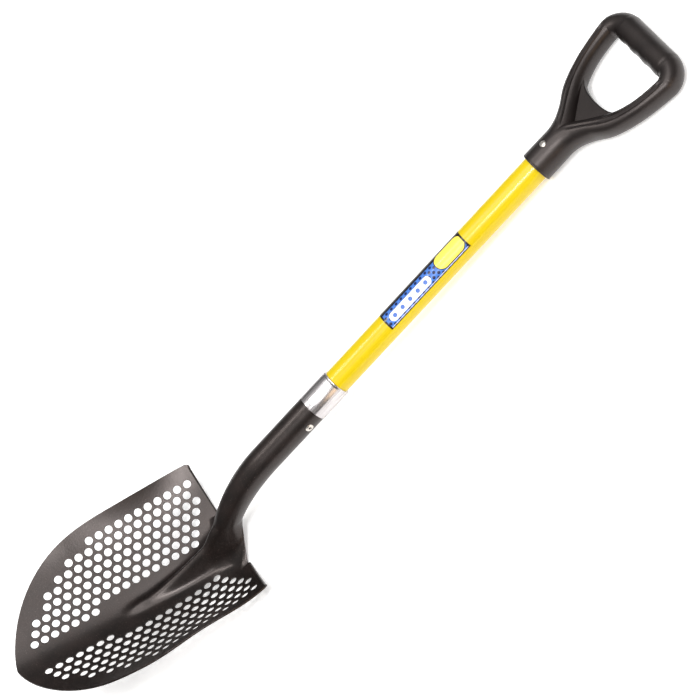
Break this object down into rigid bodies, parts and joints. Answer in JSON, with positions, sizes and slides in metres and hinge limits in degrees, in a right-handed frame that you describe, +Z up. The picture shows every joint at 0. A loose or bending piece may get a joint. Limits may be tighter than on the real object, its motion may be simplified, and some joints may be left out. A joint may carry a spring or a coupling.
{
  "type": "detecting shovel",
  "caption": "Short shovel for metal detecting: perforated round-point steel blade with rolled socket, yellow fibreglass shaft, aluminium collar and black D-grip.",
  "frame": {"origin": "centre of the bottom of the box round the shovel as it lies face up, resting on its heel and on the crossbar", "axes": "+X along the shovel from the blade to the grip, +Y across it, +Z up out of the dished face"},
  "size_m": [0.9755, 0.2166, 0.134],
  "materials": {
    "black_painted_steel": "satin black-brown baked paint on pressed steel",
    "aluminium": "lengthwise brushed aluminium",
    "yellow_fibreglass": "glossy pigmented fibreglass",
    "hardwood": "plain turned dowel",
    "plated_rivet": "bright plated steel",
    "black_plastic": "satin moulded polypropylene",
    "label_film": "printed glossy film"
  },
  "bodies": {
    "root": {"blade_head": "black_painted_steel", "collar": "aluminium", "shaft_tube": "yellow_fibreglass", "shaft_plug": "hardwood", "grip_plug": "hardwood", "socket_rivet": "plated_rivet", "d_grip": "black_plastic", "grip_rivet": "plated_rivet", "grip_rivet_washer": "plated_rivet", "label": "label_film"}
  },
  "joints": []
}
